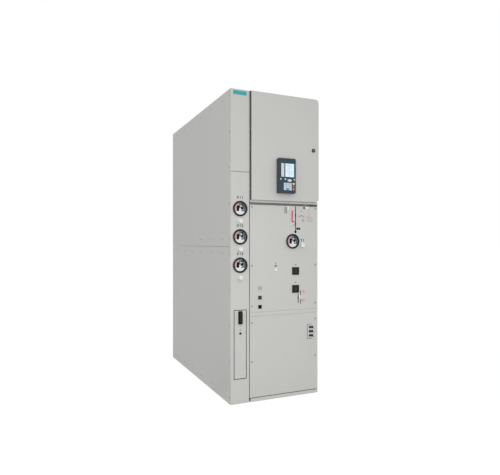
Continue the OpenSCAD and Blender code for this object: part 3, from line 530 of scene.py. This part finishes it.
# Filled marks of each colour, as outlines
FILLED = {
    "black": [
        [(LINE_X - 13, LINE_END), (LINE_X, LINE_END + 7), (LINE_X + 13, LINE_END), (LINE_X, LINE_END - 17)],
        *[round_outline(x, 1314.5, 16, 17, 3) for x in (568, 586)],
    ],
    "pink": [
        [(602, 818), (633, 832), (633, 800)],
        [(602, 752), (602, 742), (633, 736), (633, 762)],
    ],
    "grey": [round_outline(631, 1480, 20, 18, 5)],
    "white": [
        # Painted highlights: the first two white fields, at the top right and beside the grey mark, are
        # bright spots standing for light caught on the cover
        round_outline(657, 1482, 30, 10, 2),
        round_outline(486, 1476, 8, 26, 2),
        round_outline(589, 780, 5, 28, 2),
    ],
}
# Small rings of each colour: middle, inner and outer radius
RINGS = {"grey": [(621, 1381, 6, 10)]}
for colour in ("black", "red", "pink", "grey", "pale", "white"):
    kind = "lines" if colour in STROKES else "fields"
    marks = Shape()
    for points, width, rise in STROKES.get(colour, []):
        marks.line(points, width, 0, rise)
    for outline in FILLED.get(colour, []):
        marks.plate(outline, 0, MARK_RISE)
    for ring in RINGS.get(colour, []):
        marks.ring(*ring, 0, OVER_RISE)
    marks.piece(f"mimic_{colour}_{kind}", f"mark_{colour}")

# Operating parts on the mechanism cover

INDICATOR_PLACE = (376, 0, 1025)
INDICATOR = [(8, 0, 1), (8, 2, 1), (6, 3.4, 1), (5, 3.4, 1), (5, 2, 1)]
Shape().turned(INDICATOR_PLACE, OUTWARDS, INDICATOR).piece("spring_indicator", "mark_grey")
shutters = Extent("operating_shutters")
GRIP, GRIP_STEPS, GRIP_SEAT, GRIP_RISE = (24, 4, 1), spread(-13, 13, 4), 2, 2.4
grips = Shape()
for z in (shutters.z0 + shutters.w / 2, shutters.z1 - shutters.w / 2):
    for step in GRIP_STEPS:
        grips.plate(round_outline(shutters.x, z + step, *GRIP), shutters.y0 + GRIP_SEAT, GRIP_RISE)
grips.piece("shutter_grips", "shutter_slide")
buttons = Extent("push_buttons")
BUTTON_CAP, BUTTON_SEAT, BUTTON_RISE = (17, 17, 3), 1, 1.6
for name, look, z in (
    ("off_button_cap", "mark_black", buttons.z0 + buttons.w / 2),
    ("on_button_cap", "shutter_slide", buttons.z1 - buttons.w / 2),
):
    outline = round_outline(buttons.x, z, *BUTTON_CAP)
    Shape().plate(outline, buttons.y0 + BUTTON_SEAT, BUTTON_RISE).piece(name, look)
window = Extent("position_window")
FLAG, FLAG_STEP = (7, 26, 2), 9
flags = Shape()
for step in (-FLAG_STEP, FLAG_STEP):
    flags.plate(round_outline(window.x + step, window.z, *FLAG), window.y0 / 2)
flags.piece("position_flags", "mark_grey")

# Test sockets

socket_plate, sockets = Extent("test_socket_plate"), Extent("test_sockets")
SOCKET_R = 8.5
COLLAR = [(9.4, 0, 1), (9.4, 4, 1), (8.7, 5, 1)]
# Painted shade: a grey line along the socket plate's left, top and bottom edges, where its edges and gap lie
# in shade; reach of its arms, inset from the side and ends, width and rise
EDGE_SHADE_ARM, EDGE_SHADE_SIDE, EDGE_SHADE_END, EDGE_SHADE_W, EDGE_SHADE_RISE = 44, 3, 2, 4, 0.4
# Strap of a socket's cap: points right and up of the right socket's edge
STRAP, STRAP_W, STRAP_RISE = ((-1, -6), (8, -12)), 5, 1
edge_shade, collars, straps = Shape(), Shape(), Shape()
edge_shade_x, edge_shade_low, edge_shade_high = socket_plate.x0 + EDGE_SHADE_SIDE, socket_plate.z0 + EDGE_SHADE_END, socket_plate.z1 - EDGE_SHADE_END
edge_shade_tip = socket_plate.x0 + EDGE_SHADE_ARM
edge_shade_line = [(edge_shade_tip, edge_shade_high), (edge_shade_x, edge_shade_high), (edge_shade_x, edge_shade_low), (edge_shade_tip, edge_shade_low)]
edge_shade.line(edge_shade_line, EDGE_SHADE_W, socket_plate.y0, EDGE_SHADE_RISE)
for z in spread(sockets.z0 + SOCKET_R, sockets.z1 - SOCKET_R, 3):
    for x in (sockets.x0 + SOCKET_R, sockets.x1 - SOCKET_R):
        collars.turned((x, socket_plate.y0, z), OUTWARDS, COLLAR)
    straps.line([(sockets.x1 + dx, z + dz) for dx, dz in STRAP], STRAP_W, socket_plate.y0, STRAP_RISE)
edge_shade.piece("socket_plate_edge_shade", "mark_grey")
collars.piece("socket_collars", "rubber")
straps.piece("socket_cap_straps", "rubber")

# Controller on the door

front, screen, lamps = Extent("relay_front"), Extent("relay_screen"), Extent("relay_lamps")
keys, commands = Extent("relay_keys"), Extent("relay_command_keys")
FACE_MARGIN, FACE_RISE, FACE_EDGE = 6, 0.3, 0.05
INK_RISE, INK_EDGE, FINE_EDGE = 0.2, 0.1, 0.05
face_left, face_right = front.x0 + FACE_MARGIN, front.x1 - FACE_MARGIN
face = Shape()
for pane in (
    (face_left, lamps.x0, lamps.z0, lamps.z1),
    (lamps.x1, screen.x0, lamps.z0, lamps.z1),
    (screen.x1, face_right, lamps.z0, lamps.z1),
    (face_left, face_right, lamps.z1, front.z1 - FACE_MARGIN),
    (face_left, face_right, front.z0 + FACE_MARGIN, lamps.z0),
):
    face.plate(rectangle(*pane), front.y0, FACE_RISE, FACE_EDGE)
face.piece("controller_face", "face_blue", "lv_door")
# Strokes on the screen, as shares of its width and height, with their width in millimetres
SCREEN_STROKES = (
    ((0.14, 0.87), (0.38, 0.87), 4), ((0.43, 0.95), (0.43, 0.05), 2.5), ((0.43, 0.78), (0.74, 0.78), 1.5),
    ((0.74, 0.78), (0.74, 0.6), 1.5), ((0.2, 0.66), (0.43, 0.66), 1.5), ((0.2, 0.66), (0.2, 0.36), 1.5),
    ((0.56, 0.4), (0.88, 0.4), 1.5), ((0.56, 0.31), (0.8, 0.31), 1.5), ((0.56, 0.22), (0.88, 0.22), 1.5),
)
ink = Shape()
for start, end, width in SCREEN_STROKES:
    points = [(screen.x0 + screen.w * u, screen.z0 + screen.h * v) for u, v in (start, end)]
    ink.line(points, width, screen.y0, INK_RISE)
ink.piece("screen_lines", "screen_ink", "lv_door")
LAMP_COUNT, GREEN_COUNT, LAMP_END, LAMP_LEFT = 8, 2, 9, 6
LENS = [(3.2, 0, 1), (3.2, 0.3, 1), (2.2, 0.6, 1)]
LABEL, LABEL_RIGHT = (13, 8, 1), 4.5
reds, greens, labels = Shape(), Shape(), Shape()
for k, z in enumerate(spread(lamps.z1 - LAMP_END, lamps.z0 + LAMP_END, LAMP_COUNT)):
    lenses = greens if k < GREEN_COUNT else reds
    lenses.turned((lamps.x0 + LAMP_LEFT, lamps.y0, z), OUTWARDS, LENS)
    labels.plate(round_outline(lamps.x + LABEL_RIGHT, z, *LABEL), lamps.y0, INK_RISE, INK_EDGE)
reds.piece("controller_lamps_red", "lamp_red", "lv_door")
greens.piece("controller_lamps_green", "lamp_green", "lv_door")
labels.piece("controller_lamp_fields", "lamp_field", "lv_door")
KEY_ROWS, KEY_COLUMNS = spread(1658, 1613, 4), (427, 451, 475)
KEY_PAD, KEY_PAD_RISE = (452, 1635.5, 70, 57, 3), 0.8
pad = Shape()
pad.plate(round_outline(*KEY_PAD), front.y0, KEY_PAD_RISE)
pad.piece("controller_key_pad", "key_pad", "lv_door")
DIGIT_HEIGHT, DIGIT_WEIGHT = 6, 0.1
legends = Shape()
for row, digits in zip(KEY_ROWS, ("789", "456", "123")):
    for x, digit in zip(KEY_COLUMNS, digits):
        legends.numerals(digit, x, row, DIGIT_HEIGHT, keys.y0, INK_RISE, DIGIT_WEIGHT)
legends.piece("controller_key_numbers", "mark_grey", "lv_door")
# Arrows round the middle of their keys: direction in degrees and distance
ARROWS, ARROW_MIDDLE, ARROW_R = ((0, 12), (90, 6.5), (180, 12), (270, 6.5)), (468, 1683), 2.4
arrows = Shape()
for degrees, reach in ARROWS:
    middle = on_circle(*ARROW_MIDDLE, reach, degrees)
    corners = [on_circle(*middle, ARROW_R, degrees + turn) for turn in (0, 120, 240)]
    arrows.plate(corners, keys.y0, INK_RISE, FINE_EDGE)
arrows.piece("controller_arrow_marks", "mark_grey", "lv_door")
CAP_RIM, CAP_RISE, CAP_EDGE = 0.3, 0.4, 0.4
COMMAND_CAP, COMMAND_END = (17, 14, 3.5), 7
BLUE_CAP, BLUE_LIFT, MINT_CAP = (22, 16, 4), 1, (430, 1691, 14, 13)
cap_height = front.y0 - keys.y0 + CAP_RISE
for name, look, outline in (
    ("controller_key_amber", "key_amber", round_outline(commands.x, commands.z1 - COMMAND_END, *COMMAND_CAP)),
    ("controller_key_green", "key_green", round_outline(commands.x, commands.z, *COMMAND_CAP)),
    ("controller_key_red", "key_red", round_outline(commands.x, commands.z0 + COMMAND_END, *COMMAND_CAP)),
    ("controller_key_blue", "key_blue", round_outline(KEY_COLUMNS[1], KEY_ROWS[-1] + BLUE_LIFT, *BLUE_CAP)),
    ("controller_key_mint", "key_mint", oval(*MINT_CAP)),
):
    Shape().plate(inset(outline, -CAP_RIM), front.y0, cap_height, CAP_EDGE).piece(name, look, "lv_door")
PORT_PLACE, PORT_LID, PORT_GRIP = (386, 1640), (12, 24, 2), (6, 14, 1)
PORT_RISE, PORT_EDGE, PORT_GRIP_RISE, PORT_GRIP_EDGE = 0.9, 0.3, 0.3, 0.1
port = Shape()
port.plate(round_outline(*PORT_PLACE, *PORT_LID), front.y0, PORT_RISE, PORT_EDGE)
port.plate(round_outline(*PORT_PLACE, *PORT_GRIP), front.y0 - PORT_RISE, PORT_GRIP_RISE, PORT_GRIP_EDGE)
port.piece("controller_service_port", "port_navy", "lv_door")

# Locks and screws of door and flap

lock, door, flap_lock = Extent("door_lock"), Extent("lv_door"), Extent("flap_lock")
LOCK_INSERT, LOCK_SEAT = [(5, 0, 1), (5, 1.2, 1), (4, 1.6, 1), (2.4, 1.6, 1), (2.4, 0.6, 1)], 1.8
LOCK_BAR, LOCK_BAR_SEAT, LOCK_BAR_RISE = (7.6, 2.4, 0.8), 1, 0.9
insert = Shape()
insert.turned((lock.x, lock.y0 + LOCK_SEAT, door.z), OUTWARDS, LOCK_INSERT)
insert.plate(round_outline(lock.x, door.z, *LOCK_BAR), lock.y0 + LOCK_BAR_SEAT, LOCK_BAR_RISE)
insert.piece("door_lock_insert", "screw_dull", "lv_door")
FLAP_INSERT = [(5, 0, 1), (5, 0.5, 1), (4.4, 0.8, 1), (2, 0.8, 1), (2, 0.2, 1)]
insert = Shape()
insert.turned((flap_lock.x, flap_lock.y0, flap_lock.z), OUTWARDS, FLAP_INSERT)
insert.piece("flap_lock_insert", "lock_metal", "column_flap")
# Heights of the flap's screws and their radii
FLAP_SCREWS = {577: 4, 552: 6}
heads = Shape()
for z, r in FLAP_SCREWS.items():
    heads.screw((flap_lock.x, 0, z), OUTWARDS, r)
heads.piece("flap_screws", "screw_zinc", "column_flap")

# Seal round the low-voltage compartment

lips = Extent("lv_lips")
SEAL_INSET, SEAL_W, SEAL_RISE = 12, 8, 4
x0, x1, z0, z1 = lips.x0 + SEAL_INSET, lips.x1 - SEAL_INSET, lips.z0 + SEAL_INSET, lips.z1 - SEAL_INSET
upright = [[(x, z0), (x, z1)] for x in (x0, x1)]
level = [[(x0 + SEAL_W, z), (x1 - SEAL_W, z)] for z in (z0, z1)]
seal = Shape()
for points in upright + level:
    seal.line(points, SEAL_W, lips.y0, SEAL_RISE)
seal.piece("compartment_seal", "rubber")

# Painted edge in front of the door hinge's leaf

leaf = Extent("door_hinge_leaf")
STRIP_PROUD, STRIP_THICK, STRIP_EDGE = 6.4, 0.5, 0.1
strip = Shape()
strip.plate(rectangle(leaf.x0 - STRIP_THICK, leaf.x0, leaf.z0, leaf.z1), 0, STRIP_PROUD, STRIP_EDGE)
strip.piece("door_hinge_edge", "cabinet_paint")

# Mid-grey plate at the right end of the gap under the door: painted shade that carries the gap's dark band on
# to the right wall

sill, wall = Extent("lv_floor"), Extent("right_wall_upper")
GAP_END_W, GAP_END_CLEAR, GAP_END_DEPTH, GAP_END_EDGE = 9, 0.4, 6.4, 0.3
gap = (RIGHT - GAP_END_W, RIGHT - GAP_END_CLEAR, COVER_TOP + GAP_END_CLEAR, sill.z0 - GAP_END_CLEAR)
gap_end_shade = Shape()
gap_end_shade.plate(rectangle(*gap), wall.y0 - GAP_END_CLEAR, GAP_END_DEPTH, GAP_END_EDGE)
gap_end_shade.piece("gap_end_shade_plate", "hinge_zinc")

# Floor, light and camera

WHITE = (1, 1, 1, 1)
FLOOR_REACH, FLOOR_DROP = 60.0, 0.5 * MM
FLOOR_GREY, SHADOW_GREY, FLOOR_GLOW = (0.24, 0.24, 0.24, 1), (0.14, 0.14, 0.14, 1), 0.9
SKY_LEVEL = 0.95
LAMP_POWER, LAMP_SIDE, LAMP_PLACE = 40.0, 2.0, (-800, -3000, 1100)
CAMERA_PLACE, CAMERA_TURN = (-1306.5, -3240.6, 1197.9), -23.872
SENSOR_WIDTH, FOCAL_LENGTH, FAR_CLIP = 36.0, 33.945, 200.0
SHIFT_X, SHIFT_Y = 0.00752, 0.01198


def seen_directly(tree):
    """One for rays that show floor or sky as the background, zero for rays that carry their light."""
    path = add(tree, "LightPath", {})
    total = path.outputs["Is Camera Ray"]
    for ray in ("Is Glossy Ray", "Is Transmission Ray"):
        larger = add(tree, "Math", {0: total, 1: path.outputs[ray]})
        larger.operation = "MAXIMUM"
        total = larger.outputs[0]
    return total


floor_mesh = bpy.data.meshes.new("floor")
corners = [(x, y, 0) for x, y in rectangle(-FLOOR_REACH, FLOOR_REACH, -FLOOR_REACH, FLOOR_REACH)]
floor_mesh.from_pydata(corners, [], [(0, 1, 2, 3)])
floor = bpy.data.objects.new("floor", floor_mesh)
floor.location.z = -FLOOR_DROP
scene.collection.objects.link(floor)
floor_look = bpy.data.materials.new("floor")
tree = empty_tree(floor_look)
plain = add(tree, "BsdfDiffuse", {"Color": FLOOR_GREY})
faint = add(tree, "BsdfDiffuse", {"Color": SHADOW_GREY})
glow = add(tree, "Emission", {"Color": WHITE, "Strength": FLOOR_GLOW})
bright = add(tree, "AddShader", {0: faint.outputs[0], 1: glow.outputs[0]})
mix = add(tree, "MixShader", {0: seen_directly(tree), 1: plain.outputs[0], 2: bright.outputs[0]})
add(tree, "OutputMaterial", {"Surface": mix.outputs[0]})
floor_mesh.materials.append(floor_look)

world = bpy.data.worlds.new("studio")
scene.world = world
tree = empty_tree(world)
sky = add(tree, "Background", {"Color": WHITE, "Strength": SKY_LEVEL})
page = add(tree, "Background", {"Color": WHITE, "Strength": 1.0})
mix = add(tree, "MixShader", {0: seen_directly(tree), 1: sky.outputs[0], 2: page.outputs[0]})
add(tree, "OutputWorld", {"Surface": mix.outputs[0]})

lamp = bpy.data.lights.new("softbox", "AREA")
lamp.energy, lamp.size = LAMP_POWER, LAMP_SIDE
softbox = bpy.data.objects.new("softbox", lamp)
softbox.location = at(*LAMP_PLACE)
softbox.rotation_euler = (softbox.location - at(RIGHT / 2, 0, TOP / 2)).to_track_quat("Z", "Y").to_euler()
softbox.visible_camera = False
scene.collection.objects.link(softbox)

optics = bpy.data.cameras.new("camera")
optics.sensor_width, optics.lens, optics.clip_end = SENSOR_WIDTH, FOCAL_LENGTH, FAR_CLIP
optics.shift_x, optics.shift_y = SHIFT_X, SHIFT_Y
camera = bpy.data.objects.new("camera", optics)
camera.location = at(*CAMERA_PLACE)
camera.rotation_euler = (math.radians(90), 0, math.radians(CAMERA_TURN))
scene.collection.objects.link(camera)
scene.camera = camera
scene.view_settings.view_transform = "Standard"
